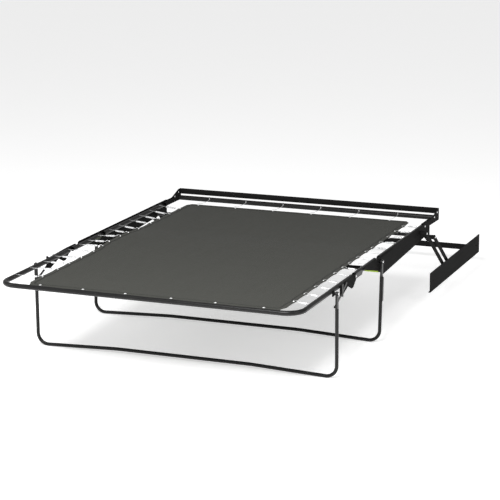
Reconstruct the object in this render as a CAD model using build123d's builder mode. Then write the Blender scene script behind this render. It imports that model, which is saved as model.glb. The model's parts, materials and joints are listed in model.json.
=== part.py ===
"""Folding bed base of a sofa bed, shown pulled out.

Heights are given from the floor and lengths from the middle of the foot bar, in millimetres.
The part's origin is on the rear face of the tie bar, midway between the sides: +X to the right
seen from the foot, +Y towards the head, +Z up.
"""

from build123d import *
from math import cos, radians, sin, sqrt
import os

# Overall frame
rail_spacing = 1400.0
rail_height = 390.0
rail_diameter = 22.0
rail_wall = 1.6
foot_corner_radius = 75.0
plate = 3.0
weld_bite = 0.5
running_gap = 0.3
pin_fit = 0.1

# Fold lines, measured from the foot bar
foot_hinge_y = 670.0
foot_hinge_rise = 0.0
fold_hinge_y = 994.0
fold_hinge_drop = 10.0
head_hinge_y = 1700.0
head_edge_y = 1950.0
rail_end_gap = 18.0
fold_relief = 30.0

# Pins
pin_diameter = 8.0
pin_head_diameter = 15.0
pin_head_height = 2.6
collar_diameter = 14.0

# Legs
leg_gap = 3.4
leg_diameter = 16.0
leg_wall = 1.4
leg_corner_radius = 50.0
leg_bow = 16.0
leg_bow_radius = 1500.0
leg_bow_share = 0.45
leg_flat_length = 68.0
leg_flat_overlap = 4.0
leg_flat_thickness = 8.0
leg_flat_width = 20.0
leg_foot_height = 9.0
front_leg_y = 386.0
front_leg_drop = 7.0
front_leg_lean = 2.0
rear_leg_lean = 30.0
stiffener_start = 70.0
stiffener_end = 182.0
stiffener_width = 15.0
stiffener_thickness = 2.0

# Front braces
brace_width = 11.0
brace_drop = 60.0
brace_end_y = 535.0
brace_end_rise = 2.0
brace_x_gap = 3.5
brace_sag = 4.0
brace_rivet_diameter = 5.0
brace_rivet_head = 9.0
brace_rivet_head_height = 1.6
keeper_y = 480.0
keeper_width = 14.0
keeper_above = 29.4
keeper_below = 15.6
keeper_post_diameter = 6.0
keeper_thickness = 2.0

# Foot brackets
leg_lug_width = 26.0
leg_lug_corner = 4.0
foot_bracket_front_y = 470.0
foot_bracket_front_width = 24.0
foot_bracket_notch_y = 572.0
foot_bracket_notch_drop = 10.0
foot_bracket_tip_y = 631.0
foot_bracket_tip_width = 22.0
foot_bracket_tip_drop = 44.0
foot_bracket_corner = 5.0
foot_bracket_margin = 8.0

# Hinge lugs
hinge_eye = 13.0
lug_length = 80.0
lug_half_height = 8.0
outer_lug_length = 72.0
outer_lug_trim = 4.0
spacer_start = 11.0
spacer_length = 42.0
spacer_height = 14.0
spacer_bite = 1.5

# Side plates of the body section
plate_front_y = 752.0
plate_knee_y = 1008.0
plate_knee_drop = 59.0
plate_corner_y = 1036.0
plate_corner_drop = 83.0
plate_rear_drop = 52.0
plate_rise = 14.5
plate_tip_step = 6.0
plate_tip_length = 40.0
plate_corner_radius = 6.0
plate_pin_margin = 18.0
plate_rear_slope = 50.0
doubler_thickness = 2.0
doubler_rear_y = 1193.0
doubler_inset = 12.0
doubler_top_inset = 8.0
doubler_rear_depth = 40.0
doubler_arc_length = 90.0
doubler_arc_radius = 120.0
cross_tube_diameter = 22.0
cross_tube_wall = 1.5
front_cross_y = 1058.0
front_cross_drop = 67.0
rear_cross_y = 1655.0
rear_cross_drop = 35.0
sleeve_length = 65.0
sleeve_wall = 1.2
sleeve_end_gap = 22.0
sleeve_fit = 0.1

# Lift links and mounting brackets
link_length = 390.0
link_rest_angle = 143.0
link_width = 24.0
link_thickness = 4.0
link_collar_trim = 2.0
link_x = 746.0
front_link_y = 1930.0
front_link_drop = 250.0
link_pitch_y = 140.0
link_pitch_drop = 50.0
link_pin_diameter = 10.0
bracket_gap = 7.0
bracket_thickness = 3.0
bracket_lip = 11.0
bracket_front_y = 1660.0
bracket_bottom = 66.0
bracket_top = 165.0
bracket_bolt_diameter = 9.0
bracket_bolt_inset = 50.0
bracket_corner = 3.0
tie_bar_y = 2545.0
tie_bar_height = 90.0
tie_bar_size = 25.0
tie_bar_wall = 2.0

# Head section
head_kink_y = 1835.0
head_rail_overlap = 20.0
head_tube_diameter = 25.0
head_tube_drop = 7.0
head_tube_inset = 3.0
head_flange_gap = 9.5
head_plate_depth = 26.0
head_flange = 16.0
head_sheet = 2.0
head_side_top = 28.0
head_side_drop = 6.0

# Deck, springs and hooks
deck_side_gap = 72.0
deck_thickness = 2.0
deck_foot_y = 0.0
deck_head_y = 1757.0
deck_rear_drop = 8.3
deck_hinge_gap = 20.0
deck_fold_gap = 30.0
spring_diameter = 9.0
spring_wire = 2.0
spring_lead = 11.0
spring_seat_lead = 4.0
spring_taper = 4.0
spring_seat_angle = 45.0
spring_end_gap = 1.3
foot_springs_y = [140.0, 270.0, 396.0, 503.0, 636.0]
middle_springs_y = [748.0, 836.0, 945.0]
body_springs_y = [1071.0, 1172.0, 1292.0, 1408.0, 1528.0, 1648.0]
hook_pitch = 208.0
hook_count = 6
hook_wire = 2.6
hook_deck_run = 50.0
hook_tube_run = 40.0
hook_bend = 40.0

# Values worked out from the above
origin_y = tie_bar_y + tie_bar_size / 2
rail_x = rail_spacing / 2
rail_radius = rail_diameter / 2
inner_lug_x = rail_x + rail_radius
outer_lug_x = inner_lug_x + plate + 2 * running_gap
outer_face_x = outer_lug_x + plate
leg_x = outer_face_x + leg_gap + leg_diameter / 2
leg_flat_x = leg_x - leg_flat_thickness / 2
body_rail_x = outer_lug_x - rail_radius
deck_height = rail_height + rail_radius + running_gap
bracket_x = link_x + link_thickness + bracket_gap
link_collar = link_width - link_collar_trim
head_tube_radius = head_tube_diameter / 2
plate_top_height = rail_height + plate_rise
foot_hinge_height = rail_height + foot_hinge_rise
fold_hinge_height = rail_height - fold_hinge_drop
front_leg_height = rail_height - front_leg_drop
brace_end_height = rail_height + brace_end_rise
head_tube_height = rail_height - head_tube_drop
front_link_height = rail_height - front_link_drop
front_cross_height = rail_height - front_cross_drop
rear_cross_height = rail_height - rear_cross_drop
deck_width = 2 * (rail_x - deck_side_gap)
plate_corner_height = rail_height - plate_corner_drop
lug_top_height = rail_height + rail_radius / 2


def side_plane(x):
    """A plane facing +X, whose sketch coordinates are distance from the foot and height."""
    return Plane(origin=(x, -origin_y, -tie_bar_height), x_dir=(0, 1, 0), z_dir=(1, 0, 0))


def spot(x, y, height):
    return Vector(x, y - origin_y, height - tie_bar_height)


def disc(x, depth, y, height, diameter, mode=Mode.ADD):
    """A round pin, collar, head or hole along X."""
    with BuildSketch(side_plane(x)) as round_face:
        with Locations((y, height)):
            Circle(diameter / 2)
    extrude(round_face.sketch, amount=depth, mode=mode)


def straight_tube_y(x, height, start, end, diameter, wall):
    with BuildSketch(Plane(origin=spot(x, start, height), x_dir=(1, 0, 0), z_dir=(0, 1, 0))) as ring:
        Circle(diameter / 2)
        Circle(diameter / 2 - wall, mode=Mode.SUBTRACT)
    extrude(ring.sketch, amount=end - start)


def mirrored(right):
    with BuildPart() as left:
        mirror(right.part, about=Plane.YZ)
    return left


pieces = {}


def keep(name, built):
    built.part.label = name
    pieces[name] = built


def keep_pair(name, right):
    keep(name + "_right", right)
    keep(name + "_left", mirrored(right))


# Foot section: one tube bent round the foot end
foot_rail_end = foot_hinge_y - rail_end_gap
with BuildPart() as foot_frame:
    with BuildLine(Plane(origin=spot(0, 0, rail_height), x_dir=(1, 0, 0), z_dir=(0, 0, 1))) as bend:
        FilletPolyline(
            (rail_x, foot_rail_end), (rail_x, 0), (-rail_x, 0), (-rail_x, foot_rail_end),
            radius=foot_corner_radius,
        )
    with BuildSketch(Plane(origin=bend.line @ 0, z_dir=bend.line % 0)):
        Circle(rail_radius)
        Circle(rail_radius - rail_wall, mode=Mode.SUBTRACT)
    sweep()
keep("foot_frame", foot_frame)

# Where each front brace is riveted to the leg, and the heights of its keeper's posts
front_leg_length = sqrt((front_leg_height - leg_foot_height) ** 2 + front_leg_lean ** 2)
brace_foot_y = front_leg_y - brace_drop * front_leg_lean / front_leg_length
brace_foot_height = front_leg_height - brace_drop * (front_leg_height - leg_foot_height) / front_leg_length
brace_slope = (brace_end_height - brace_foot_height) / (brace_end_y - brace_foot_y)
brace_height_in_keeper = brace_foot_height + brace_slope * (keeper_y - brace_foot_y)
keeper_post_top = brace_height_in_keeper + keeper_above
keeper_post_bottom = brace_height_in_keeper - keeper_below
foot_bracket_front_height = keeper_post_bottom - foot_bracket_margin
foot_bracket_tip_height = rail_height - foot_bracket_tip_drop

# Foot brackets: the lug that the front leg hangs from, and the hinge plate behind it
with BuildPart() as foot_bracket:
    with BuildSketch(side_plane(inner_lug_x)):
        with BuildLine():
            FilletPolyline(
                (front_leg_y - leg_lug_width / 2, lug_top_height),
                (front_leg_y - leg_lug_width / 2, front_leg_height - hinge_eye),
                (front_leg_y + leg_lug_width / 2, front_leg_height - hinge_eye),
                (front_leg_y + leg_lug_width / 2, lug_top_height),
                close=True, radius=leg_lug_corner,
            )
        make_face()
        with BuildLine():
            FilletPolyline(
                (foot_bracket_front_y, lug_top_height),
                (foot_bracket_front_y, foot_bracket_front_height),
                (foot_bracket_front_y + foot_bracket_front_width, foot_bracket_front_height),
                (foot_bracket_notch_y, rail_height - rail_radius - foot_bracket_notch_drop),
                (foot_bracket_tip_y - foot_bracket_tip_width / 2, foot_bracket_tip_height),
                (foot_bracket_tip_y + foot_bracket_tip_width / 2, foot_bracket_tip_height),
                (foot_hinge_y + hinge_eye, foot_hinge_height - hinge_eye),
                (foot_hinge_y + hinge_eye, foot_hinge_height + hinge_eye),
                (foot_hinge_y - hinge_eye, foot_hinge_height + hinge_eye),
                close=True, radius=foot_bracket_corner,
            )
        make_face()
    extrude(amount=plate)
    disc(inner_lug_x, plate, foot_hinge_y, foot_hinge_height, pin_diameter + 2 * pin_fit, Mode.SUBTRACT)
    disc(inner_lug_x + plate, leg_flat_x - running_gap - inner_lug_x - plate,
         front_leg_y, front_leg_height, collar_diameter)
    disc(leg_flat_x - running_gap, leg_flat_thickness + 2 * running_gap,
         front_leg_y, front_leg_height, pin_diameter)
    disc(leg_flat_x + leg_flat_thickness + running_gap, pin_head_height,
         front_leg_y, front_leg_height, pin_head_diameter)
keep_pair("foot_bracket", foot_bracket)

# Brace keepers: straps on the hinge plate that hold the upper end of each front brace
brace_x = inner_lug_x + plate + brace_x_gap
with BuildPart() as brace_keeper:
    keeper_x = brace_x + plate + running_gap
    with BuildSketch(side_plane(keeper_x)):
        with Locations((keeper_y, (keeper_post_top + keeper_post_bottom) / 2)):
            SlotOverall(keeper_post_top - keeper_post_bottom + keeper_width, keeper_width, rotation=90)
    extrude(amount=keeper_thickness)
    for end_height in (keeper_post_top, keeper_post_bottom):
        disc(inner_lug_x + plate, keeper_x - inner_lug_x - plate,
             keeper_y, end_height, keeper_post_diameter)
keep_pair("brace_keeper", brace_keeper)


def leg_loop(y, height, lean):
    """A leg: one tube bent into a wide U, flattened at both tops, with a bar that bows upwards."""
    drop = height - leg_foot_height
    length = sqrt(drop ** 2 + lean ** 2)
    along = Vector(0, lean / length, drop / length)
    frame = Plane(origin=spot(0, y, height), x_dir=(1, 0, 0), z_dir=Vector(1, 0, 0).cross(along))
    flat_plane = Plane(origin=spot(leg_flat_x, y, height), x_dir=along, z_dir=(1, 0, 0))
    bow_x = leg_x * leg_bow_share
    with BuildPart() as loop:
        with BuildLine(frame) as path:
            FilletPolyline(
                (leg_x, -leg_flat_length), (leg_x, -length), (bow_x, -length + leg_bow),
                (-bow_x, -length + leg_bow), (-leg_x, -length), (-leg_x, -leg_flat_length),
                radius=[leg_corner_radius, leg_bow_radius, leg_bow_radius, leg_corner_radius],
            )
        with BuildSketch(Plane(origin=path.line @ 0, z_dir=path.line % 0)):
            Circle(leg_diameter / 2)
            Circle(leg_diameter / 2 - leg_wall, mode=Mode.SUBTRACT)
        sweep()
        with BuildSketch(flat_plane):
            with Locations((-leg_flat_length / 2 - leg_flat_overlap, 0)):
                SlotOverall(leg_flat_length + 2 * leg_flat_overlap + leg_flat_width, leg_flat_width)
            Circle(pin_diameter / 2 + pin_fit, mode=Mode.SUBTRACT)
        flat = extrude(amount=leg_flat_thickness)
        mirror(flat, about=Plane.YZ)
    return loop


front_leg = leg_loop(front_leg_y, front_leg_height, front_leg_lean)
rear_leg = leg_loop(fold_hinge_y, fold_hinge_height, rear_leg_lean)
keep("front_leg", front_leg)
keep("rear_leg", rear_leg)

# Front braces: flat stays riveted to the leg, each on a short pin
with BuildPart() as front_brace:
    chord = Vector(brace_end_y - brace_foot_y, brace_end_height - brace_foot_height)
    middle = Vector(brace_foot_y, brace_foot_height) + chord / 2 + chord.normalized().rotate(
        Axis.Z, -90) * brace_sag
    with BuildSketch(side_plane(brace_x)):
        with BuildLine() as stay:
            ThreePointArc((brace_foot_y, brace_foot_height), (middle.X, middle.Y),
                          (brace_end_y, brace_end_height))
        SlotArc(arc=stay.line.edges()[0], height=brace_width)
        with Locations((brace_foot_y, brace_foot_height)):
            Circle(brace_rivet_diameter / 2 + pin_fit, mode=Mode.SUBTRACT)
    extrude(amount=plate)
keep_pair("front_brace", front_brace)

with BuildPart() as brace_rivet:
    disc(brace_x - running_gap - brace_rivet_head_height, brace_rivet_head_height,
         brace_foot_y, brace_foot_height, brace_rivet_head)
    disc(brace_x - running_gap, plate + 2 * running_gap, brace_foot_y, brace_foot_height,
         brace_rivet_diameter)
    disc(brace_x + plate + running_gap, leg_flat_x - brace_x - plate - running_gap,
         brace_foot_y, brace_foot_height, brace_rivet_head)
keep_pair("brace_rivet", brace_rivet)

# Stiffeners doubling the rear leg under its pivot
rear_drop = fold_hinge_height - leg_foot_height
rear_leg_length = sqrt(rear_drop ** 2 + rear_leg_lean ** 2)
rear_along = Vector(0, rear_leg_lean / rear_leg_length, rear_drop / rear_leg_length)
with BuildPart() as rear_stiffener:
    stiffener_plane = Plane(
        origin=spot(leg_x + leg_diameter / 2, fold_hinge_y, fold_hinge_height),
        x_dir=rear_along, z_dir=(1, 0, 0))
    with BuildSketch(stiffener_plane):
        with Locations((-(stiffener_start + stiffener_end) / 2, 0)):
            SlotOverall(stiffener_end - stiffener_start, stiffener_width)
    extrude(amount=stiffener_thickness)
keep_pair("rear_stiffener", rear_stiffener)

# Middle section: two rails, each with a hinge lug at both ends
with BuildPart() as middle_rail:
    straight_tube_y(rail_x, rail_height, foot_hinge_y + rail_end_gap, fold_hinge_y - rail_end_gap,
                    rail_diameter, rail_wall)
    with BuildSketch(side_plane(inner_lug_x - weld_bite)):
        with BuildLine():
            Polyline(
                (fold_hinge_y - lug_length, rail_height - lug_half_height),
                (fold_hinge_y, fold_hinge_height - hinge_eye),
                (fold_hinge_y, fold_hinge_height + hinge_eye),
                (fold_hinge_y - lug_length, rail_height + lug_half_height), close=True)
        make_face()
        with Locations((fold_hinge_y, fold_hinge_height)):
            Circle(hinge_eye)
    extrude(amount=plate + weld_bite)
    with BuildSketch(side_plane(inner_lug_x - spacer_bite)):
        with Locations((foot_hinge_y + rail_end_gap + spacer_start + spacer_length / 2, rail_height)):
            Rectangle(spacer_length, spacer_height)
    extrude(amount=outer_lug_x - inner_lug_x + spacer_bite)
    with BuildSketch(side_plane(outer_lug_x)):
        with Locations((foot_hinge_y + outer_lug_length / 2, foot_hinge_height)):
            SlotOverall(outer_lug_length + 2 * hinge_eye, 2 * hinge_eye - outer_lug_trim)
    extrude(amount=plate)
    disc(inner_lug_x - weld_bite, plate + weld_bite, fold_hinge_y, fold_hinge_height,
         pin_diameter + 2 * pin_fit, Mode.SUBTRACT)
    disc(inner_lug_x - running_gap, outer_lug_x - inner_lug_x + running_gap,
         foot_hinge_y, foot_hinge_height, pin_diameter)
    disc(inner_lug_x - running_gap - pin_head_height, pin_head_height,
         foot_hinge_y, foot_hinge_height, pin_head_diameter)
keep_pair("middle_rail", middle_rail)

# Body section: rails, and the deep side plates that carry every pivot
front_pin_y = front_link_y + link_length * cos(radians(link_rest_angle))
front_pin_height = front_link_height + link_length * sin(radians(link_rest_angle))
rear_pin_y = front_pin_y + link_pitch_y
rear_pin_height = front_pin_height - link_pitch_drop
with BuildPart() as body_rail:
    straight_tube_y(body_rail_x, rail_height, fold_hinge_y + fold_relief, head_hinge_y - rail_end_gap,
                    rail_diameter, rail_wall)
keep_pair("body_rail", body_rail)

with BuildPart() as side_plate:
    with BuildSketch(side_plane(outer_lug_x)):
        with BuildLine():
            FilletPolyline(
                (plate_front_y, plate_top_height - plate_tip_step),
                (plate_knee_y, rail_height - plate_knee_drop), (plate_corner_y, plate_corner_height),
                (rear_pin_y - plate_pin_margin - plate_rear_slope, rail_height - plate_rear_drop),
                (rear_pin_y - plate_pin_margin, rear_pin_height - plate_pin_margin),
                (rear_pin_y + plate_pin_margin, rear_pin_height - plate_pin_margin),
                (rear_pin_y + plate_pin_margin, plate_top_height),
                (plate_front_y + plate_tip_length, plate_top_height),
                close=True, radius=plate_corner_radius,
            )
        make_face()
    extrude(amount=plate)
    for y, height in ((front_pin_y, front_pin_height), (rear_pin_y, rear_pin_height)):
        disc(outer_face_x, link_x - running_gap - outer_face_x, y, height, link_collar)
        disc(link_x - running_gap, link_thickness + 2 * running_gap, y, height, link_pin_diameter)
        disc(link_x + link_thickness + running_gap, pin_head_height, y, height, pin_head_diameter)
    disc(outer_face_x, leg_flat_x - running_gap - outer_face_x,
         fold_hinge_y, fold_hinge_height, collar_diameter)
    disc(leg_flat_x - running_gap, leg_flat_thickness + 2 * running_gap,
         fold_hinge_y, fold_hinge_height, pin_diameter)
    disc(leg_flat_x + leg_flat_thickness + running_gap, pin_head_height,
         fold_hinge_y, fold_hinge_height, pin_head_diameter)
    for y, height in ((fold_hinge_y, fold_hinge_height), (head_hinge_y, rail_height)):
        head_x = inner_lug_x - weld_bite - running_gap
        disc(head_x, outer_lug_x - head_x, y, height, pin_diameter)
        disc(head_x - pin_head_height, pin_head_height, y, height, pin_head_diameter)
keep_pair("side_plate", side_plate)

doubler_front_y = fold_hinge_y + doubler_inset
doubler_top = plate_top_height - doubler_top_inset
doubler_arc_start = (doubler_rear_y - doubler_arc_length, plate_corner_height + doubler_inset)
doubler_arc_end = (doubler_rear_y, plate_top_height - doubler_rear_depth)
with BuildPart() as side_doubler:
    with BuildSketch(side_plane(outer_face_x)):
        with BuildLine():
            Polyline(
                (doubler_front_y, doubler_top),
                (doubler_front_y, rail_height - plate_knee_drop + doubler_top_inset),
                (plate_corner_y + doubler_inset, plate_corner_height + doubler_top_inset),
                doubler_arc_start)
            RadiusArc(doubler_arc_start, doubler_arc_end, -doubler_arc_radius)
            Polyline(doubler_arc_end, (doubler_rear_y, doubler_top), (doubler_front_y, doubler_top))
        make_face()
    extrude(amount=doubler_thickness)
keep_pair("side_doubler", side_doubler)


def cross_tube(y, height):
    with BuildPart() as tube:
        with BuildSketch(Plane(origin=spot(-outer_lug_x, y, height), x_dir=(0, 1, 0), z_dir=(1, 0, 0))):
            Circle(cross_tube_diameter / 2)
            Circle(cross_tube_diameter / 2 - cross_tube_wall, mode=Mode.SUBTRACT)
        extrude(amount=2 * outer_lug_x)
    return tube


keep("front_cross_tube", cross_tube(front_cross_y, front_cross_height))
keep("rear_cross_tube", cross_tube(rear_cross_y, rear_cross_height))

sleeve_outer_x = outer_lug_x - sleeve_end_gap
with BuildPart() as sleeve:
    with BuildSketch(side_plane(sleeve_outer_x - sleeve_length)):
        with Locations((front_cross_y, front_cross_height)):
            Circle(cross_tube_diameter / 2 + sleeve_fit + sleeve_wall)
            Circle(cross_tube_diameter / 2 + sleeve_fit, mode=Mode.SUBTRACT)
    extrude(amount=sleeve_length)
keep_pair("grip_sleeve", sleeve)

# Head section
head_plate_x = inner_lug_x - weld_bite
head_back_y = head_edge_y - head_sheet
head_flange_height = head_tube_height + head_tube_radius + head_flange_gap
head_top_height = head_flange_height + head_plate_depth
head_tube_y = head_edge_y - head_tube_inset - head_tube_radius
with BuildPart() as head_side:
    straight_tube_y(rail_x, rail_height, head_hinge_y + rail_end_gap, head_kink_y + head_rail_overlap,
                    rail_diameter, rail_wall)
    with BuildSketch(side_plane(head_plate_x)):
        with BuildLine():
            Polyline(
                (head_hinge_y, rail_height - hinge_eye),
                (head_back_y, rail_height - hinge_eye - head_side_drop),
                (head_back_y, head_top_height), (head_back_y - head_side_top, head_top_height),
                (head_kink_y, rail_height + hinge_eye), (head_hinge_y, rail_height + hinge_eye),
                close=True)
        make_face()
        with Locations((head_hinge_y, rail_height)):
            Circle(hinge_eye)
            Circle(pin_diameter / 2 + pin_fit, mode=Mode.SUBTRACT)
    extrude(amount=plate)
keep_pair("head_side", head_side)

with BuildPart() as head_tube:
    with BuildSketch(Plane(origin=spot(-head_plate_x, head_tube_y, head_tube_height),
                           x_dir=(0, 1, 0), z_dir=(1, 0, 0))):
        Circle(head_tube_radius)
        Circle(head_tube_radius - rail_wall, mode=Mode.SUBTRACT)
    extrude(amount=2 * head_plate_x)
keep("head_tube", head_tube)

with BuildPart() as head_angle:
    with BuildSketch(Plane(origin=spot(-head_plate_x, 0, 0), x_dir=(0, 1, 0), z_dir=(1, 0, 0))):
        with BuildLine():
            Polyline(
                (head_back_y, head_top_height), (head_back_y, head_flange_height),
                (head_back_y - head_flange, head_flange_height),
                (head_back_y - head_flange, head_flange_height + head_sheet),
                (head_back_y - head_sheet, head_flange_height + head_sheet),
                (head_back_y - head_sheet, head_top_height), close=True)
        make_face()
    extrude(amount=2 * head_plate_x)
keep("head_angle", head_angle)

# Hooks from the deck's head edge to the head tube
deck_rear_height = deck_height - deck_rear_drop
hook_tube_y = head_tube_y - head_tube_radius
hook_height = deck_rear_height + deck_thickness / 2
with BuildPart() as head_hooks:
    for index in range(hook_count):
        x = (index - (hook_count - 1) / 2) * hook_pitch
        with BuildLine(side_plane(x)) as wire:
            FilletPolyline(
                (deck_head_y + running_gap, hook_height), (deck_head_y + hook_deck_run, hook_height),
                (hook_tube_y - hook_tube_run, head_tube_height),
                (hook_tube_y - running_gap, head_tube_height), radius=hook_bend)
        with BuildSketch(Plane(origin=wire.line @ 0, z_dir=wire.line % 0)):
            Circle(hook_wire / 2)
        sweep()
keep("head_hooks", head_hooks)

# Deck panels, one for each section, clear of the fold lines
deck_spans = {
    "foot_deck": (deck_foot_y, foot_hinge_y - deck_hinge_gap, deck_height),
    "middle_deck": (foot_hinge_y + deck_hinge_gap, fold_hinge_y - deck_fold_gap, deck_height),
    "body_deck": (fold_hinge_y + deck_fold_gap, head_hinge_y - deck_hinge_gap, deck_rear_height),
    "head_deck": (head_hinge_y + deck_hinge_gap, deck_head_y, deck_rear_height),
}
for deck_name, (start, end, height) in deck_spans.items():
    with BuildPart() as panel:
        with BuildSketch(Plane(origin=spot(0, (start + end) / 2, height))):
            Rectangle(deck_width, end - start)
        extrude(amount=deck_thickness)
    keep(deck_name, panel)


def spring_row(places, centre_x, panel_height):
    """Tension springs from the deck's edge to the top inner side of a rail."""
    start = Vector(deck_width / 2 + running_gap, 0, panel_height + deck_thickness / 2)
    seat_turn = radians(spring_seat_angle)
    seat = Vector(centre_x - rail_radius * cos(seat_turn), 0, rail_height + rail_radius * sin(seat_turn))
    run = seat - start
    length = run.length - spring_end_gap
    wire = spring_wire / 2
    coil = spring_diameter / 2
    with BuildPart() as row:
        for y in places:
            base = spot(start.X, y, start.Z)
            with BuildSketch(Plane(origin=base, x_dir=run, z_dir=(0, 1, 0))):
                with BuildLine():
                    Polyline(
                        (0, 0), (0, wire), (spring_lead, wire), (spring_lead + spring_taper, coil),
                        (length - spring_seat_lead - spring_taper, coil),
                        (length - spring_seat_lead, wire), (length, wire), (length, 0), close=True)
                make_face()
            revolve(axis=Axis(base, run))
    return row


keep_pair("foot_springs", spring_row(foot_springs_y, rail_x, deck_height))
keep_pair("middle_springs", spring_row(middle_springs_y, rail_x, deck_height))
keep_pair("body_springs", spring_row(body_springs_y, body_rail_x, deck_rear_height))

# Lift links
link_cos = cos(radians(link_rest_angle))
link_sin = sin(radians(link_rest_angle))


def lift_link(y, height):
    with BuildPart() as link:
        with BuildSketch(Plane(origin=spot(link_x, y, height), x_dir=(0, link_cos, link_sin),
                               z_dir=(1, 0, 0))):
            with Locations((link_length / 2, 0)):
                SlotOverall(link_length + link_width, link_width)
            with Locations((0, 0), (link_length, 0)):
                Circle(link_pin_diameter / 2 + pin_fit, mode=Mode.SUBTRACT)
        extrude(amount=link_thickness)
    return link


rear_link_y = front_link_y + link_pitch_y
rear_link_height = front_link_height - link_pitch_drop
keep_pair("front_lift_link", lift_link(front_link_y, front_link_height))
keep_pair("rear_lift_link", lift_link(rear_link_y, rear_link_height))

# Mounting brackets: angle plates for the sofa's sides, with the link pins on the inside
with BuildPart() as mounting_bracket:
    bracket_length = origin_y - bracket_front_y
    with BuildSketch(side_plane(bracket_x)):
        with Locations((bracket_front_y + bracket_length / 2, (bracket_bottom + bracket_top) / 2)):
            RectangleRounded(bracket_length, bracket_top - bracket_bottom, bracket_corner)
        for y in (bracket_front_y + bracket_bolt_inset, tie_bar_y - bracket_bolt_inset):
            with Locations((y, (bracket_bottom + bracket_top) / 2)):
                Circle(bracket_bolt_diameter / 2, mode=Mode.SUBTRACT)
    extrude(amount=bracket_thickness)
    with BuildSketch(Plane(origin=spot(0, 0, bracket_bottom), x_dir=(1, 0, 0), z_dir=(0, 0, 1))):
        with Locations((bracket_x + bracket_thickness - bracket_lip / 2, bracket_front_y + bracket_length / 2)):
            Rectangle(bracket_lip, bracket_length - 2 * bracket_corner)
    extrude(amount=bracket_thickness)
    for y, height in ((front_link_y, front_link_height), (rear_link_y, rear_link_height)):
        disc(link_x + link_thickness + running_gap, bracket_gap - running_gap, y, height, link_collar)
        disc(link_x - running_gap, link_thickness + 2 * running_gap, y, height, link_pin_diameter)
        disc(link_x - running_gap - pin_head_height, pin_head_height, y, height, pin_head_diameter)
keep_pair("mounting_bracket", mounting_bracket)

with BuildPart() as rear_tie_bar:
    with BuildSketch(Plane(origin=spot(-bracket_x, tie_bar_y, tie_bar_height), x_dir=(0, 1, 0),
                           z_dir=(1, 0, 0))):
        Rectangle(tie_bar_size, tie_bar_size)
        Rectangle(tie_bar_size - 2 * tie_bar_wall, tie_bar_size - 2 * tie_bar_wall, mode=Mode.SUBTRACT)
    extrude(amount=2 * bracket_x)
keep("rear_tie_bar", rear_tie_bar)

os.makedirs("parts", exist_ok=True)
for name, built in pieces.items():
    export_step(built.part, f"parts/{name}.step")
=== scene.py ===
"""Looks of the folding bed base: painted steel, woven deck, coil springs, hooks and rivets."""

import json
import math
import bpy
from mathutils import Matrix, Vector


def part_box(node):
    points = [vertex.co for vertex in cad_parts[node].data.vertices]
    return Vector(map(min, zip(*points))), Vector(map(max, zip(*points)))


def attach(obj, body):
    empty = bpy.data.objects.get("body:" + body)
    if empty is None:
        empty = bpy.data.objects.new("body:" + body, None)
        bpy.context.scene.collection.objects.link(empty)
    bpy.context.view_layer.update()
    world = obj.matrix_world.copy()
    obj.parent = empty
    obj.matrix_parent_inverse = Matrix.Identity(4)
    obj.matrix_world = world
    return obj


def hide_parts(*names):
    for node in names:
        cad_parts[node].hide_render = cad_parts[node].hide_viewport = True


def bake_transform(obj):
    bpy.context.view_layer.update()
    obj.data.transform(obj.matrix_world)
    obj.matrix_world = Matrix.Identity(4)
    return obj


bl_info = {
    "name": "Folding bed base looks",
    "version": (1, 0, 0),
    "blender": (4, 5, 0),
    "location": "3D View > Sidebar > Bed Base",
    "description": "Dresses the folding bed base with its deck, springs, hooks, rivets and paint",
    "category": "Object",
}

import bpy
import numpy as np
from bpy.props import FloatProperty, FloatVectorProperty, IntProperty, PointerProperty
from mathutils import Matrix, Vector

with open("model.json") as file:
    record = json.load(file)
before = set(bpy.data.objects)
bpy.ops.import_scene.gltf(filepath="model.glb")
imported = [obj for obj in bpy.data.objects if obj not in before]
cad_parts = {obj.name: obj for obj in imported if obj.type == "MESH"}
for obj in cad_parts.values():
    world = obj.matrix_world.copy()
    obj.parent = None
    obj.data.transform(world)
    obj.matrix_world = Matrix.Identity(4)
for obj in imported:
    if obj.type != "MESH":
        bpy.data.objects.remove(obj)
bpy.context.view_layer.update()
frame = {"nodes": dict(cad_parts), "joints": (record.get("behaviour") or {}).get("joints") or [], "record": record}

SIDES = {"left": -1, "right": 1}
JOINT_AT = {joint["name"]: Vector(joint["pos_m"]) for joint in frame["joints"]}
DECK_LOW, DECK_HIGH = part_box("foot_deck")
DECK_TOP = DECK_HIGH.z
DECK_EDGE = DECK_HIGH.x
DECK_FOOT = DECK_LOW.y
DECK_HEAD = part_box("head_deck")[1].y
DECK_REAR_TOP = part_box("head_deck")[1].z
SLOPE_RUN = 0.2
DECK_SLOPE = (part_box("middle_deck")[1].y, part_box("body_deck")[0].y + SLOPE_RUN)
BAR_LOW, BAR_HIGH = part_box("foot_frame")
BAR_RADIUS = (BAR_HIGH.z - BAR_LOW.z) / 2
RAIL_Z = BAR_LOW.z + BAR_RADIUS
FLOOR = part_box("front_leg")[0].z
SECTION_OF_ROW = {
    "foot_springs": "foot_section",
    "middle_springs": "middle_section",
    "body_springs": "body_section",
}
NEIGHBOUR_GAP = 0.02


# Settings that a user would change

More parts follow.
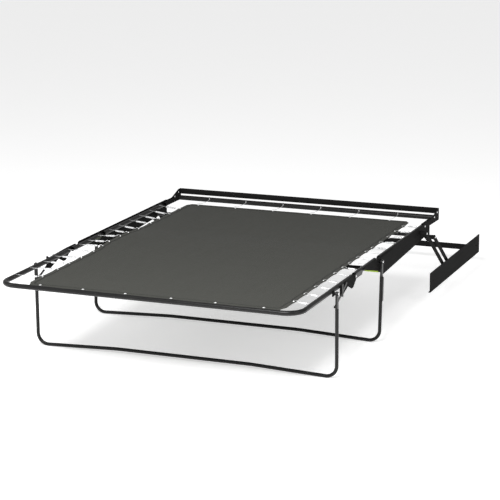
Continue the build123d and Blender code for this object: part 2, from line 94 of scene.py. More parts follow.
class DeckSettings(bpy.types.PropertyGroup):
    colour: FloatVectorProperty(
        name="Tape colour", description="Colour of the woven tape", subtype="COLOR",
        default=(0.047, 0.0478, 0.041), min=0, max=1)
    weave: FloatProperty(
        name="Tape width", description="Width of one woven tape", default=0.003, unit="LENGTH")
    thickness: FloatProperty(
        name="Cloth thickness", description="Thickness of the deck cloth", default=0.0012, unit="LENGTH")
    hem: FloatProperty(
        name="Hem width", description="Width of the turned and sewn edge", default=0.023, unit="LENGTH")
    sag: FloatProperty(
        name="Sag", description="How far the middle of each panel hangs", default=0.004, unit="LENGTH")
    drawn: FloatProperty(
        name="Drawn to the right", description="How much wider the gap is along the left rail",
        default=0.046, unit="LENGTH")


class SpringSettings(bpy.types.PropertyGroup):
    wire: FloatProperty(
        name="Wire", description="Diameter of the spring wire", default=0.0016, unit="LENGTH")
    coil: FloatProperty(
        name="Coil", description="Outside diameter of the coil", default=0.0088, unit="LENGTH")
    pitch: FloatProperty(
        name="Pitch", description="Distance from turn to turn", default=0.00175, unit="LENGTH")
    sides: IntProperty(
        name="Wire sides", description="Sides round the spring wire", default=5, min=4)
    colour: FloatVectorProperty(
        name="Zinc colour", description="Colour of the zinc plate", subtype="COLOR",
        default=(0.93, 0.935, 0.94), min=0, max=1)


class SteelSettings(bpy.types.PropertyGroup):
    colour: FloatVectorProperty(
        name="Paint colour", description="Colour of the black paint", subtype="COLOR",
        default=(0.0065, 0.0065, 0.0066), min=0, max=1)
    roughness: FloatProperty(
        name="Paint roughness", description="Roughness of the painted tubes", default=0.28, min=0, max=1)
    sleeve: FloatVectorProperty(
        name="Sleeve colour", description="Colour of the grip sleeves", subtype="COLOR",
        default=(0.33, 0.47, 0.045), min=0, max=1)


class StageSettings(bpy.types.PropertyGroup):
    floor: FloatVectorProperty(
        name="Floor colour", description="Colour of the floor", subtype="COLOR",
        default=(0.93, 0.93, 0.93), min=0, max=1)
    light: FloatProperty(
        name="Key light", description="Power of the main softbox", default=190.0, unit="POWER")
    sky: FloatProperty(
        name="Sky", description="Strength of the even light all round", default=0.36, min=0)
    glow: FloatProperty(
        name="Floor glow", description="How much the pale floor lights itself", default=0.5, min=0)


# Shader maths

class Signal:
    """An output socket of a material; arithmetic on it adds Math nodes."""

    def __init__(self, paint, socket):
        self.paint = paint
        self.socket = socket

    def maths(self, operation, *values):
        return self.paint.node("ShaderNodeMath", {"operation": operation}, dict(enumerate(values)))

    def __add__(self, other):
        return self.maths("ADD", self, other)

    def __sub__(self, other):
        return self.maths("SUBTRACT", self, other)

    def __rsub__(self, other):
        return self.maths("SUBTRACT", other, self)

    def __mul__(self, other):
        return self.maths("MULTIPLY", self, other)

    def __lt__(self, other):
        return self.maths("LESS_THAN", self, other)

    def __abs__(self):
        return self.maths("ABSOLUTE", self)

    def floor(self):
        return self.maths("FLOOR", self)

    def fraction(self):
        return self.maths("FRACT", self)

    def sine(self):
        return self.maths("SINE", self)

    def held(self):
        """The value kept between 0 and 1."""
        return self.paint.node("ShaderNodeClamp", {}, {"Value": self})


class Paint:
    """A material under construction."""

    def __init__(self, name):
        self.material = bpy.data.materials.new(name)
        self.material.use_nodes = True
        self.tree = self.material.node_tree
        self.tree.nodes.clear()

    def node(self, kind, settings, inputs, output=0):
        made = self.tree.nodes.new(kind)
        for key, value in settings.items():
            setattr(made, key, value)
        for key, value in inputs.items():
            socket = made.inputs[key]
            if isinstance(value, Signal):
                self.tree.links.new(value.socket, socket)
            else:
                socket.default_value = value
        return Signal(self, made.outputs[output])

    def place(self):
        return self.node("ShaderNodeTexCoord", {}, {}, "Object")

    def flat_place(self, name):
        return self.node("ShaderNodeUVMap", {"uv_map": name}, {})

    def axis(self, vector, name):
        return self.node("ShaderNodeSeparateXYZ", {}, {"Vector": vector}, name)

    def stretched(self, vector, scale):
        return self.node("ShaderNodeVectorMath", {"operation": "MULTIPLY"}, {0: vector, 1: scale})

    def noise(self, vector, scale, detail, roughness=0.5):
        return self.node("ShaderNodeTexNoise", {},
                         {"Vector": vector, "Scale": scale, "Detail": detail, "Roughness": roughness})

    def mix(self, share, first, second):
        def colour(value):
            return value if isinstance(value, Signal) else (*value[:3], 1.0)
        return self.node("ShaderNodeMix", {"data_type": "RGBA"},
                         {0: share, 6: colour(first), 7: colour(second)}, 2)

    def bump(self, height, distance, strength):
        return self.node("ShaderNodeBump", {},
                         {"Height": height, "Distance": distance, "Strength": strength})

    def finish(self, inputs):
        surface = self.node("ShaderNodeBsdfPrincipled", {}, inputs)
        output = self.tree.nodes.new("ShaderNodeOutputMaterial")
        self.tree.links.new(surface.socket, output.inputs["Surface"])
        return self.material


def black_steel(name, settings, gloss, roughness):
    """Black paint with orange peel, a little dust and rubbed spots."""
    paint = Paint(name)
    place = paint.place()
    peel = paint.noise(place, 520, 2)
    dust = paint.noise(place, 11, 5, 0.6)
    rub = ((paint.noise(paint.stretched(place, (1.0, 0.35, 1.0)), 95, 6, 0.7) - 0.63) * 9).held()
    dusty = [0.022, 0.0215, 0.021]
    rubbed = [0.075, 0.073, 0.07]
    colour = paint.mix(dust * 0.5, settings.colour, dusty)
    colour = paint.mix(rub * 0.4, colour, rubbed)
    return paint.finish({
        "Base Color": colour,
        "Roughness": dust * 0.16 + rub * 0.18 + (roughness - 0.06),
        "Specular IOR Level": gloss,
        "Normal": paint.bump(peel + dust * 0.4, 0.00012, 0.5),
    })


def zinc(name, colour, roughness, metal):
    """Bright zinc plate with faint clouding and drawing lines."""
    paint = Paint(name)
    place = paint.place()
    cloud = paint.noise(place, 130, 4, 0.6)
    line = paint.noise(paint.stretched(place, (1.0, 1.0, 6.0)), 700, 2)
    darker = [value * 0.7 for value in colour]
    return paint.finish({
        "Base Color": paint.mix((cloud * 1.6 - 0.5).held(), colour, darker),
        "Metallic": metal,
        "Roughness": cloud * 0.2 + (roughness - 0.08),
        "Normal": paint.bump(line, 0.00004, 0.4),
    })


def deck_cloth(settings):
    """Flat woven tape in two directions with a painted highlight on each tape's crown and painted shade between
    the tapes, a hem with a sewn line and a painted shade line along its fold, and faint soiling.
    """
    seam_place = settings.hem * 0.78
    seam_half_width = 0.0009
    # Half width of the painted shade line along the hem's fold
    fold_shade_half_width = 0.0034
    stitches_per_metre = 160
    stitch_share = 0.66
    paint = Paint("deck_cloth")
    flat = paint.flat_place("weave")
    edge = paint.flat_place("edge")
    across = paint.axis(flat, "X") * (1 / settings.weave)
    along = paint.axis(flat, "Y") * (1 / settings.weave)
    over = ((across.floor() + along.floor()) * 0.5).fraction() * 2
    crown = (across.fraction() * math.pi).sine() * over + (along.fraction() * math.pi).sine() * (1 - over)
    warp = paint.noise(paint.stretched(flat, (1 / settings.weave, 2.0, 1.0)), 1.0, 2)
    weft = paint.noise(paint.stretched(flat, (2.0, 1 / settings.weave, 1.0)), 1.0, 2)
    cloud = paint.noise(flat, 2.3, 5, 0.6)
    streak = warp * over + weft * (1 - over)
    from_edge = paint.axis(edge, "X")
    seam = abs(from_edge - seam_place) < seam_half_width
    stitch = seam * ((paint.axis(flat, "Y") * stitches_per_metre).fraction() < stitch_share)
    # Painted shade along the crease where the hem folds over
    fold_shade = (abs(from_edge - settings.hem) < fold_shade_half_width) * 0.9
    # Painted highlight on each tape's crown and painted shade between the tapes, together with the real
    # tape-to-tape tone streaks
    light = [value * 1.5 + 0.006 for value in settings.colour]
    shaded_gap_and_dark_tape = [value * 0.42 for value in settings.colour]
    thread = [value * 0.55 for value in settings.colour]
    # Near-black colour of the painted shade in the hem's fold
    fold = [value * 0.2 for value in settings.colour]
    # Mixes painted crown highlight and painted shade between tapes with the real streaks of single tapes
    colour = paint.mix((crown * 0.55 + streak * 0.5 - 0.22).held(), shaded_gap_and_dark_tape, light)
    colour = paint.mix((cloud * 0.9 - 0.28).held() * 0.5, colour, settings.colour)
    colour = paint.mix(fold_shade, colour, fold)
    colour = paint.mix(stitch * 0.8, colour, thread)
    return paint.finish({
        "Base Color": colour,
        "Roughness": 0.74 - crown * 0.14 + cloud * 0.08,
        "Sheen Weight": 0.03,
        "Specular IOR Level": 0.2,
        "Normal": paint.bump(crown + streak * 0.3 + stitch * 1.5, 0.0004, 0.7),
    })


def sleeve_plastic(settings):
    """Matt vinyl sleeve with scuffs and a fine grain."""
    paint = Paint("sleeve_vinyl")
    place = paint.place()
    grain = paint.noise(place, 900, 3)
    scuff = ((paint.noise(place, 60, 6, 0.7) - 0.58) * 6).held()
    faded = [value * 0.6 + 0.08 for value in settings.sleeve]
    return paint.finish({
        "Base Color": paint.mix(scuff * 0.5, settings.sleeve, faded),
        "Roughness": scuff * 0.2 + 0.46,
        "Normal": paint.bump(grain, 0.00008, 0.5),
    })


def floor_paint(settings):
    """Pale studio floor with a very faint mottling."""
    paint = Paint("studio_floor")
    mottle = paint.noise(paint.place(), 3, 3)
    darker = [value * 0.985 for value in settings.floor]
    return paint.finish({
        "Base Color": paint.mix(mottle, settings.floor, darker),
        "Roughness": 0.8,
        "Emission Color": (1.0, 1.0, 1.0, 1.0),
        "Emission Strength": settings.glow,
    })


MAKERS = {
    "tube_steel": lambda scene: black_steel(
        "tube_steel", scene.bed_steel, gloss=0.2, roughness=scene.bed_steel.roughness),
    "plate_steel": lambda scene: black_steel("plate_steel", scene.bed_steel, gloss=0.02, roughness=0.6),
    "zinc_wire": lambda scene: zinc(
        "zinc_wire", list(scene.bed_springs.colour), roughness=0.34, metal=0.8),
    "rivet_zinc": lambda scene: zinc(
        "rivet_zinc", list(scene.bed_springs.colour), roughness=0.28, metal=0.6),
    "deck_fabric": lambda scene: deck_cloth(scene.bed_deck),
    "grip_sleeve": lambda scene: sleeve_plastic(scene.bed_steel),
    "floor": lambda scene: floor_paint(scene.bed_stage),
}
MATERIALS = {}


def finish_of(name):
    """The material of that name, made when first asked for."""
    if name not in MATERIALS:
        MATERIALS[name] = MAKERS[name](bpy.context.scene)
    return MATERIALS[name]


# Mesh building

SHARP_ANGLE = math.radians(50)


def circle(centre, out, across, radius, sides):
    """Points round centre, in the plane of out and across."""
    turns = [2 * math.pi * side / sides for side in range(sides)]
    return [centre + (out * math.cos(turn) + across * math.sin(turn)) * radius for turn in turns]


class Shape:
    """Vertices and faces gathered for one piece."""

    def __init__(self):
        self.points = []
        self.faces = []

    def add(self, points, faces):
        start = len(self.points)
        self.points.extend(tuple(point) for point in points)
        self.faces.extend(tuple(start + index for index in face) for face in faces)

    def rings(self, rings, close_ends=True):
        """Joins rings of points, each with as many points, into a skin."""
        count = len(rings[0])
        points = [point for ring in rings for point in ring]
        faces = []
        for row in range(len(rings) - 1):
            for side in range(count):
                following = (side + 1) % count
                faces.append((row * count + side, row * count + following,
                              (row + 1) * count + following, (row + 1) * count + side))
        if close_ends:
            faces.append(tuple(reversed(range(count))))
            faces.append(tuple((len(rings) - 1) * count + side for side in range(count)))
        self.add(points, faces)

    def wire(self, path, radius, sides):
        """A round wire along a list of points."""
        path = [Vector(point) for point in path]
        tangents = []
        for index in range(len(path)):
            ahead = path[min(index + 1, len(path) - 1)]
            behind = path[max(index - 1, 0)]
            tangents.append((ahead - behind).normalized())
        normal = tangents[0].orthogonal().normalized()
        rings = []
        for point, tangent in zip(path, tangents):
            normal = (normal - tangent * normal.dot(tangent)).normalized()
            rings.append(circle(point, normal, tangent.cross(normal), radius, sides))
        self.rings(rings)

    def turned(self, centre, axis, profile, sides, close_ends=True):
        """A lathe shape: profile is a list of (radius, distance along the axis)."""
        axis = Vector(axis).normalized()
        out = axis.orthogonal().normalized()
        across = axis.cross(out)
        self.rings([circle(Vector(centre) + axis * distance, out, across, radius, sides)
                    for radius, distance in profile], close_ends)

    def rivet(self, centre, axis, radius, height):
        """A domed head with a short cylindrical rim."""
        rim_share, dome_share = 0.3, 0.7
        profile = [(radius, 0.0), (radius, height * rim_share)]
        for degrees in (17, 34, 51, 68, 85):
            turn = math.radians(degrees)
            profile.append((radius * math.cos(turn), height * (rim_share + dome_share * math.sin(turn))))
        self.turned(centre, axis, profile, 20)

    def eyelet(self, centre, axis, radius, wire):
        """A ring lying round a hole."""
        profile = [(radius + wire * math.cos(turn), wire * math.sin(turn))
                   for turn in (2 * math.pi * step / 8 for step in range(9))]
        self.turned(centre, axis, profile, 16, close_ends=False)

    def piece(self, name, finish, smooth=True):
        mesh = bpy.data.meshes.new(name)
        mesh.from_pydata(self.points, [], self.faces)
        mesh.update()
        if smooth:
            mesh.polygons.foreach_set("use_smooth", [True] * len(mesh.polygons))
            mesh.set_sharp_from_angle(angle=SHARP_ANGLE)
        made = bpy.data.objects.new(name, mesh)
        bpy.context.scene.collection.objects.link(made)
        mesh.materials.append(finish_of(finish))
        return made


def curve_through(points, steps):
    """Points of a smooth curve through the given ones."""
    points = [Vector(point) for point in points]
    padded = [points[0] * 2 - points[1], *points, points[-1] * 2 - points[-2]]
    found = []
    for index in range(1, len(padded) - 2):
        before, start, end, after = padded[index - 1:index + 3]
        for step in range(steps):
            t = step / steps
            found.append(0.5 * (
                2 * start + (end - before) * t
                + (2 * before - 5 * start + 4 * end - after) * t ** 2
                + (3 * start - before - 3 * end + after) * t ** 3))
    found.append(points[-1])
    return found


def clusters(values, gap):
    """Splits sorted numbers where they jump by more than gap."""
    groups = [[values[0]]]
    for value in values[1:]:
        if value - groups[-1][-1] > gap:
            groups.append([])
        groups[-1].append(value)
    return groups


def places_along(node):
    """The Y of each separate solid in a row of springs."""
    ys = sorted(vertex.co.y for vertex in frame["nodes"][node].data.vertices)
    return [(group[0] + group[-1]) / 2 for group in clusters(ys, NEIGHBOUR_GAP)]


# Painted steel and plastic on the solids of the frame

PRESSED = ("plate", "doubler", "bracket", "angle", "head_side", "link", "tie_bar")


class BED_OT_paint(bpy.types.Operator):
    """Give every solid of the frame its finish"""
    bl_idname = "bed.paint"
    bl_label = "Paint the frame"

    def execute(self, context):
        slots = {row["node"]: row["material_slot"] for row in frame["record"]["subparts"]}
        for name, node in frame["nodes"].items():
            finish = slots[name]
            if finish == "black_steel":
                pressed = any(word in name for word in PRESSED)
                finish = "plate_steel" if pressed else "tube_steel"
            node.data.materials.clear()
            node.data.materials.append(finish_of(finish))
        return {"FINISHED"}


# The woven deck

# The springs' places on the rails, from foot to head. Both rails have the same.
SPRING_SEATS = sorted(y for row in SECTION_OF_ROW for y in places_along(row + "_right"))

# How far, in metres, each spring on the left leans towards the foot at the deck, from foot to head
LEFT_LEAN = (0.004, -0.006, 0.008, -0.003, 0.007, 0.004, 0.004,
             -0.007, 0.034, 0.026, 0.012, 0.025, 0.025, 0.015)

# Where each spring hooks into the hem on one side, by its place on the rail
HEM_HOLES = {
    -1: {seat: seat - lean for seat, lean in zip(SPRING_SEATS, LEFT_LEAN)},
    1: {seat: seat for seat in SPRING_SEATS},
}

# The outline of the cloth, in metres
SIDE_SLACK = 0.0025
SPRING_PULL = 0.0045
PULL_REACH = 0.024
FRONT_FLARE = 0.007
HEAD_CORNER = 0.02
FOOT_CORNER = 0.016
FOOT_CORNER_RUN = 0.045
FOOT_GAP = 0.022
FOOT_OVERHANG = 0.0025

# The height of the cloth, in metres
TOP_CLEARANCE = 0.0008
WAVE = 0.0006
BAR_WRAP = 0.0035
BAR_WRAP_REACH = 0.006

# The cloth's mesh: its rows, its columns and the hem's rim, in metres
WIDE_ROW = 0.009
FINE_ROW = 0.003
FINE_ROW_REACH = 0.045
LAST_ROW = 0.002
COLUMNS = 93
RIM = 0.0007
RIM_REACH = 0.0005
HEM_EDGE = 0.0006

# The fold lines, where the cloth's rows lie closer together, each with how far the bend reaches on each side of it
BEND_REACH = {"foot_fold": 0.038, "middle_fold": 0.034, "head_fold": 0.032}


def eased(value, start, end):
    """A smooth step from 0 at start to 1 at end."""
    share = min(max((value - start) / (end - start), 0.0), 1.0)
    return share * share * (3 - 2 * share)


def edge_at(y, sign, settings):
    """Where the deck's side is: drawn out at each spring, let in between them and at the corners."""
    pull = sum(math.exp(-((y - hole) / PULL_REACH) ** 2) for hole in HEM_HOLES[sign].values())
    front = FRONT_FLARE * (1 - eased(y, DECK_SLOPE[0], DECK_SLOPE[1]))
    corner = HEAD_CORNER * eased(y, DECK_HEAD - 0.035, DECK_HEAD + 0.004)
    foot_corner = FOOT_CORNER * (1 - eased(y, DECK_FOOT, DECK_FOOT + FOOT_CORNER_RUN))
    gap = 0.0
    if sign < 0:
        gap = settings.drawn + FOOT_GAP * (1 - eased(y, DECK_SLOPE[0] - 0.34, DECK_SLOPE[0] - 0.1))
    return sign * (DECK_EDGE - gap - SIDE_SLACK + SPRING_PULL * min(pull, 1.0)
                   + front - corner - foot_corner)


def deck_height(x, y, sag):
    """Height of the middle of the cloth's thickness.

    It drops behind the middle section, sags a little and wraps the foot bar.
    """
    share = x / DECK_EDGE
    along = (y - DECK_FOOT) / (DECK_HEAD - DECK_FOOT)
    drop = (DECK_TOP - DECK_REAR_TOP) * eased(y, DECK_SLOPE[0], DECK_SLOPE[1])
    hang = sag * (1 - min(abs(share), 1) ** 2) * math.sin(math.pi * min(max(along, 0), 1)) ** 0.6
    wave = WAVE * math.sin(x * 31 + y * 7) * math.sin(y * 17 + 1.3) * (1 - min(abs(share), 1) ** 6)
    wrap = BAR_WRAP * math.exp(-((y - DECK_FOOT) / BAR_WRAP_REACH) ** 2)
    return DECK_TOP - TOP_CLEARANCE - drop - hang + wave - wrap


def rows_between(start, end, folds):
    """Row places, closer together where the cloth bends."""
    rows = [start]
    while rows[-1] < end - LAST_ROW:
        near = min(abs(rows[-1] - fold) for fold in folds)
        step = FINE_ROW if near < FINE_ROW_REACH else WIDE_ROW
        rows.append(min(rows[-1] + step, end))
    return rows


def cloth_rows(start, end, settings, end_hems):
    """The rows of one stretch, with extra ones where a hem lies across its end."""
    rows = rows_between(start, end, [JOINT_AT[joint].y for joint in BEND_REACH])
    for hem_start, inside in end_hems:
        rows += [hem_start + inside * (settings.hem + shift) for shift in (-HEM_EDGE, HEM_EDGE)]
        rows += [hem_start + inside * RIM]
    return sorted(set(round(row, 5) for row in rows if start - 1e-6 <= row <= end + 1e-6))


def cloth_faces(wide, long):
    """Faces of two layers of wide by long points, joined round the rim."""
    layer = wide * long
    faces = []
    for row in range(long - 1):
        for column in range(wide - 1):
            a = row * wide + column
            quad = (a, a + 1, a + wide + 1, a + wide)
            faces.append(quad)
            faces.append(tuple(layer + index for index in reversed(quad)))
    rim = (list(range(wide))
           + [row * wide + wide - 1 for row in range(1, long)]
           + [(long - 1) * wide + column for column in range(wide - 2, -1, -1)]
           + [row * wide for row in range(long - 2, 0, -1)])
    for here, following in zip(rim, rim[1:] + rim[:1]):
        faces.append((following, here, here + layer, following + layer))
    return faces


def cloth_piece(name, start, end, settings, end_hems):
    """One stretch of the deck: two layers of cloth with a rim, hemmed at its sides and ends."""
    rows = cloth_rows(start, end, settings, end_hems)
    hem_steps = [0.0, RIM, 0.006, 0.012, settings.hem - 0.0045, settings.hem - HEM_EDGE,
                 settings.hem + HEM_EDGE, settings.hem + 0.006]
    inner = np.linspace(-1, 1, COLUMNS)
    columns = ([(-1, step) for step in hem_steps] + [(float(share), None) for share in inner[1:-1]]
               + [(1, step) for step in reversed(hem_steps)])
    points = []
    flats = []
    edges = []
    for side in (1, -1):
        for y in rows:
            left, right = (edge_at(y, sign, settings) for sign in (-1, 1))
            from_end = min((abs(y - hem_start) for hem_start, inside in end_hems), default=1.0)
            for share, step in columns:
                if step is not None:
                    x = (left if share < 0 else right) - share * step
                else:
                    x = left + hem_steps[-1] + (share + 1) / 2 * (right - left - 2 * hem_steps[-1])
                from_edge = min(x - left, right - x, from_end)
                thick = settings.thickness * (1.7 if from_edge < settings.hem else 1.0)
                if from_edge < RIM_REACH:
                    thick = settings.thickness * 1.2
                points.append((x, y, deck_height(x, y, settings.sag) + side * thick / 2))
                flats.append((x, y))
                edges.append((from_edge, y))
    shape = Shape()
    shape.add(points, cloth_faces(len(columns), len(rows)))
    made = shape.piece(name, "deck_fabric")
    for layer_name, values in (("weave", flats), ("edge", edges)):
        uv = made.data.uv_layers.new(name=layer_name)
        picked = np.array([values[loop.vertex_index] for loop in made.data.loops], dtype=np.float32)
        uv.data.foreach_set("uv", picked.ravel())
    return made


class BED_OT_deck(bpy.types.Operator):
    """Weave the deck in three stretches, each lying across one fold line"""
    bl_idname = "bed.deck"
    bl_label = "Weave the deck"

    def execute(self, context):
        settings = context.scene.bed_deck
        first_seam = (JOINT_AT["foot_fold"].y + JOINT_AT["middle_fold"].y) / 2
        second_seam = (JOINT_AT["middle_fold"].y + JOINT_AT["head_fold"].y) / 2
        foot_edge = DECK_FOOT - FOOT_OVERHANG
        stretches = [
            ("deck_foot_stretch", foot_edge, first_seam, [(foot_edge, 1)],
             "foot_fold", "foot_section", "middle_section", ["foot_deck", "middle_deck"],
             ["foot_frame", "foot_springs_left", "foot_springs_right"]),
            ("deck_middle_stretch", first_seam, second_seam, [],
             "middle_fold", "middle_section", "body_section", ["body_deck"],
             ["body_springs_left", "body_springs_right"]),
            ("deck_head_stretch", second_seam, DECK_HEAD, [(DECK_HEAD, -1)],
             "head_fold", "body_section", "head_section", ["head_deck"],
             ["head_hooks"]),
        ]
        for name, start, end, hems, joint, first, second, nodes, carriers in stretches:
            made = cloth_piece(name, start, end, settings, hems)
            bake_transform(made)
            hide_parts(*nodes)
        return {"FINISHED"}


# Springs

# The hook through the hem: how far along the spring, aside and up from the hem hole
HEM_HOOK = [(0.004, 0.0008, -0.0042), (-0.004, 0.0006, -0.005), (-0.0105, 0.0003, -0.0038),
            (-0.0128, 0.0, 0.0002), (-0.0105, -0.0002, 0.0042), (-0.004, 0.0, 0.0056),
            (0.002, 0.0, 0.0048), (0.007, 0.0, 0.0012), (0.0115, 0.0, 0.0)]
HOOK_STEPS = 4
COIL_START = 0.0165
TURN_STEPS = 12
TAPER = 1.4
TAIL = 0.0055
LONG_TAIL_SHARE = 0.72
RAIL_CLEARANCE = 0.0006
CLOTH_CLEARANCE = 0.0002


def spring_path(start, seat, tail, settings):
    """Hook through the hem, closed coil, and a hook into the rail at the end of a straight tail."""
    run = seat - start
    length = run.length
    ahead = run.normalized()
    side = Vector((0, 1, 0))
    up = ahead.cross(side)
    if up.z < 0:
        up = -up
    coil_radius = (settings.coil - settings.wire) / 2
    coil_end = length - tail

    def point(along, sideways, height):
        return start + ahead * along + side * sideways + up * height

    path = curve_through([point(*values) for values in HEM_HOOK], HOOK_STEPS)
    steps = int((coil_end - COIL_START) / settings.pitch) * TURN_STEPS
    for step in range(steps + 1):
        turn = 2 * math.pi * step / TURN_STEPS
        along = COIL_START + (coil_end - COIL_START) * step / steps
        rise = min(1.0, step / TURN_STEPS * TAPER, (steps - step) / TURN_STEPS * TAPER)
        radius = coil_radius * rise
        path.append(point(along, radius * math.sin(turn), radius * math.cos(turn)))
    seat_hook = [(coil_end + 0.002, 0.0, 0.0), (length - 0.0015, 0.0, 0.0012),
                 (length + 0.0012, 0.0, 0.0006), (length + 0.0026, 0.0, -0.0028)]
    path += curve_through([point(*values) for values in seat_hook], HOOK_STEPS)
    return path


def nearest(y):
    """The spring seat that belongs to y."""
    return min(SPRING_SEATS, key=lambda seat: abs(seat - y))


def rail_centre(section):
    """How far out a section's rail runs."""
    node = "body_rail_right" if section == "body_section" else "foot_frame"
    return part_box(node)[1].x - BAR_RADIUS


class BED_OT_springs(bpy.types.Operator):
    """Wind the coil springs along both sides"""
    bl_idname = "bed.springs"
    bl_label = "Wind the springs"

    def execute(self, context):
        settings = context.scene.bed_springs
        deck = context.scene.bed_deck
        seat_reach = (BAR_RADIUS + RAIL_CLEARANCE) * math.sqrt(0.5)
        for side_name, sign in SIDES.items():
            for row, section in SECTION_OF_ROW.items():
                node = f"{row}_{side_name}"
                shape = Shape()
                for y in places_along(node):
                    hole = HEM_HOLES[sign][nearest(y)]
                    edge = edge_at(hole, sign, deck)
                    cloth = deck_height(edge, hole, 0) - CLOTH_CLEARANCE
                    start = Vector((edge, hole, cloth))
                    seat = Vector((sign * (rail_centre(section) - seat_reach), y, RAIL_Z + seat_reach))
                    tail = TAIL + (deck.drawn * LONG_TAIL_SHARE if sign < 0 else 0.0)
                    path = spring_path(start, seat, tail, settings)
                    shape.wire(path, settings.wire / 2, settings.sides)
                    shape.eyelet((edge - sign * 0.0122, hole, cloth + 0.0012), (0, 0, 1),
                                 radius=0.0036, wire=0.0009)
                made = shape.piece(f"{node}_coils", "zinc_wire")
                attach(made, section)
                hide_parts(node)
        return {"FINISHED"}


# Hooks at the head

# The end of a hook through the hem: how far behind the deck's end and above the cloth
HOOK_BEND = [(0.006, -0.0052), (-0.004, -0.0055), (-0.0125, -0.003), (-0.0145, 0.001),
             (-0.011, 0.005), (-0.002, 0.0055), (0.02, 0.001), (0.06, -0.006)]
HOOK_LEAN = -0.022
HOOK_RADIUS = 0.00125
TUBE_CLEARANCE = 0.0014


class BED_OT_hooks(bpy.types.Operator):
    """Bend the long wire hooks that hold the deck to the head tube"""
    bl_idname = "bed.hooks"
    bl_label = "Bend the head hooks"

    def execute(self, context):
        tube_low, tube_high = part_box("head_tube")
        tube = (tube_low + tube_high) / 2
        reach = (tube_high.z - tube_low.z) / 2 + TUBE_CLEARANCE
        xs = sorted(vertex.co.x for vertex in frame["nodes"]["head_hooks"].data.vertices)
        shape = Shape()
        for group in clusters(xs, NEIGHBOUR_GAP):
            x = (group[0] + group[-1]) / 2
            cloth = deck_height(x, DECK_HEAD, 0)
            side = [(DECK_HEAD + behind, cloth + above) for behind, above in HOOK_BEND]
            side += [(tube.y - 0.045, cloth - 0.009), (tube.y - 0.024, cloth - 0.0055)]
            for degrees in (172, 150, 125, 100, 75, 50, 25):
                turn = math.radians(degrees)
                side.append((tube.y + reach * math.cos(turn), tube.z + reach * math.sin(turn)))
            bends = [(x + HOOK_LEAN * index / len(side), y, z) for index, (y, z) in enumerate(side)]
            shape.wire(curve_through(bends, 5), HOOK_RADIUS, 8)
            shape.eyelet((x, DECK_HEAD - 0.0142, cloth + 0.0014), (0, 0, 1), radius=0.0042, wire=0.001)
        made = shape.piece("head_hook_wires", "zinc_wire")
        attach(made, "head_section")
        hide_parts("head_hooks")
        return {"FINISHED"}


# Rivets

PIN_HEAD = {"radius": 0.0052, "height": 0.0018}
DECK_RIVET = {"radius": 0.0036, "height": 0.0018}
PLATE_RIVET = {"radius": 0.005, "height": 0.002}
WASHER = [(0.0062, 0), (0.0062, 0.0008), (0.0052, 0.0012)]
DECK_RIVET_XS = (-0.50, -0.293, -0.091, 0.123, 0.326, 0.544)
SUNK = 0.0001


class BED_OT_rivets(bpy.types.Operator):
    """Set the bright rivet heads on the pins, the deck and the head plates"""
    bl_idname = "bed.rivets"
    bl_label = "Set the rivets"

    def execute(self, context):
        plate_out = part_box("side_doubler_right")[0].x
        lug_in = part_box("side_plate_right")[0].x
        rear_pin = JOINT_AT["body_level"] + JOINT_AT["rear_lift"] - JOINT_AT["fold_away"]
        leg_pin_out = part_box("foot_bracket_right")[1].x
        body_pin_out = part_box("side_plate_right")[1].x
        link_pin_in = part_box("mounting_bracket_right")[0].x
        caps = {
            "foot_section": [(JOINT_AT["front_leg_fold"], leg_pin_out, 1)],
            "body_section": [(JOINT_AT["middle_fold"], leg_pin_out, 1),
                             (JOINT_AT["head_fold"], plate_out, 1),
                             (JOINT_AT["body_level"], body_pin_out, 1),
                             (rear_pin, body_pin_out, 1),
                             (JOINT_AT["middle_fold"], lug_in, -1),
                             (JOINT_AT["head_fold"], lug_in, -1)],
            "middle_section": [(JOINT_AT["foot_fold"], plate_out, 1)],
            "mounting_frame": [(JOINT_AT["fold_away"], link_pin_in, -1),
                               (JOINT_AT["rear_lift"], link_pin_in, -1)],
        }
        for section, rows in caps.items():
            shape = Shape()
            for at, x, facing in rows:
                for sign in SIDES.values():
                    centre = (sign * (x - facing * SUNK), at.y, at.z)
                    shape.rivet(centre, (sign * facing, 0, 0), **PIN_HEAD)
            made = shape.piece(f"rivets_{section}", "rivet_zinc")
            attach(made, section)
        deck = Shape()
        y = DECK_FOOT + 0.009
        for x in DECK_RIVET_XS:
            z = deck_height(x, y, 0) + 0.0008
            deck.turned((x, y, z - 0.0004), (0, 0, 1), WASHER, 20)
            deck.rivet((x, y, z + 0.0007), (0, 0, 1), **DECK_RIVET)
        made = deck.piece("deck_foot_rivets", "rivet_zinc")
        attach(made, "foot_section")
        head = Shape()
        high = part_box("head_side_right")[1]
        for sign in SIDES.values():
            for y, z in ((high.y - 0.078, high.z - 0.031), (high.y - 0.03, high.z - 0.016)):
                for inwards, facing in ((SUNK, sign), (0.0029, -sign)):
                    head.rivet((sign * (high.x - inwards), y, z), (facing, 0, 0), **PLATE_RIVET)
        made = head.piece("head_side_rivets", "rivet_zinc")
        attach(made, "head_section")
        return {"FINISHED"}


# Stage

FLOOR_REACH = 40.0
LIGHTS_AIM = (0, -2.2, 0.2)
LIGHTS = [  # name, place, size and share of the key light's power
    ("key", (0.3, -4.6, 3.0), 1.8, 1.0),
    ("fill", (-4.5, -4.8, 3.0), 2.6, 0.35),
    ("side", (4.8, -3.6, 2.6), 2.2, 0.25),
]
CAMERA_PLACE = (3.2919, -9.3411, 2.3634)
CAMERA_YAW, CAMERA_PITCH, CAMERA_ROLL = -0.3919, 0.2416, -0.0094
FOCAL_PIXELS = 1845.1
PICTURE_PIXELS = 500
SENSOR_MM = 36.0


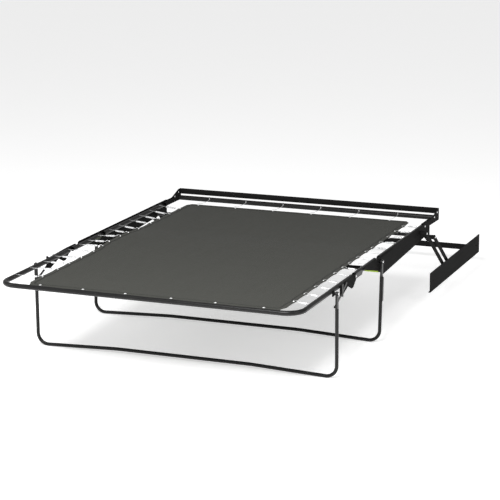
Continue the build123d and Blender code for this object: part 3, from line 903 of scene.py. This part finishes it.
class BED_OT_stage(bpy.types.Operator):
    """Lay the floor, hang the lights and set the camera"""
    bl_idname = "bed.stage"
    bl_label = "Set the stage"

    def execute(self, context):
        settings = context.scene.bed_stage
        shape = Shape()
        corners = ((-1, -1), (1, -1), (1, 1), (-1, 1))
        shape.add([(x * FLOOR_REACH, y * FLOOR_REACH, FLOOR) for x, y in corners], [(0, 1, 2, 3)])
        floor = shape.piece("studio_floor", "floor", smooth=False)
        for name, place, size, share in LIGHTS:
            light = bpy.data.lights.new(name, "AREA")
            light.size = size
            light.energy = settings.light * share
            lamp = bpy.data.objects.new(name, light)
            lamp.location = place
            aim = Vector(LIGHTS_AIM) - Vector(place)
            lamp.rotation_euler = aim.to_track_quat("-Z", "Y").to_euler()
            context.scene.collection.objects.link(lamp)
        world = bpy.data.worlds.new("studio")
        world.use_nodes = True
        background = world.node_tree.nodes["Background"]
        background.inputs["Color"].default_value = (1.0, 1.0, 1.0, 1.0)
        background.inputs["Strength"].default_value = settings.sky
        context.scene.world = world
        context.scene.view_settings.view_transform = "Standard"
        self.camera(context)
        return {"FINISHED"}

    def camera(self, context):
        """The photograph's viewpoint, from the foot end and the right, slightly above."""
        yaw, pitch, roll = CAMERA_YAW, CAMERA_PITCH, CAMERA_ROLL
        forward = Vector((math.sin(yaw) * math.cos(pitch), math.cos(yaw) * math.cos(pitch),
                          -math.sin(pitch)))
        right = Vector((math.cos(yaw), -math.sin(yaw), 0))
        up = right.cross(forward)
        rolled_right = right * math.cos(roll) + up * math.sin(roll)
        rolled_up = up * math.cos(roll) - right * math.sin(roll)
        data = bpy.data.cameras.new("camera")
        data.sensor_width = SENSOR_MM
        data.lens = SENSOR_MM * FOCAL_PIXELS / PICTURE_PIXELS
        data.clip_end = 100.0
        made = bpy.data.objects.new("camera", data)
        turn = Matrix((rolled_right, rolled_up, -forward)).transposed()
        made.matrix_world = Matrix.Translation(CAMERA_PLACE) @ turn.to_4x4()
        context.scene.collection.objects.link(made)
        context.scene.camera = made


class BED_PT_panel(bpy.types.Panel):
    """The bed base's steps, in order"""
    bl_label = "Bed Base"
    bl_idname = "BED_PT_panel"
    bl_space_type = "VIEW_3D"
    bl_region_type = "UI"
    bl_category = "Bed Base"

    def draw(self, context):
        for operator in OPERATORS:
            self.layout.operator(operator.bl_idname)
        for settings in (context.scene.bed_deck, context.scene.bed_springs,
                         context.scene.bed_steel, context.scene.bed_stage):
            for name in settings.__annotations__:
                self.layout.prop(settings, name)


OPERATORS = [BED_OT_paint, BED_OT_deck, BED_OT_springs, BED_OT_hooks, BED_OT_rivets, BED_OT_stage]
GROUPS = {"bed_deck": DeckSettings, "bed_springs": SpringSettings,
          "bed_steel": SteelSettings, "bed_stage": StageSettings}


def register():
    for group_name, group in GROUPS.items():
        bpy.utils.register_class(group)
        setattr(bpy.types.Scene, group_name, PointerProperty(type=group))
    for operator in OPERATORS:
        bpy.utils.register_class(operator)
    bpy.utils.register_class(BED_PT_panel)


def unregister():
    bpy.utils.unregister_class(BED_PT_panel)
    for operator in reversed(OPERATORS):
        bpy.utils.unregister_class(operator)
    for group_name, group in GROUPS.items():
        delattr(bpy.types.Scene, group_name)
        bpy.utils.unregister_class(group)


def main():
    register()
    for name in ("paint", "deck", "springs", "hooks", "rivets", "stage"):
        if getattr(bpy.ops.bed, name)() != {"FINISHED"}:
            raise RuntimeError(f"the step {name} didn't finish")


if __name__ == "__main__":
    main()
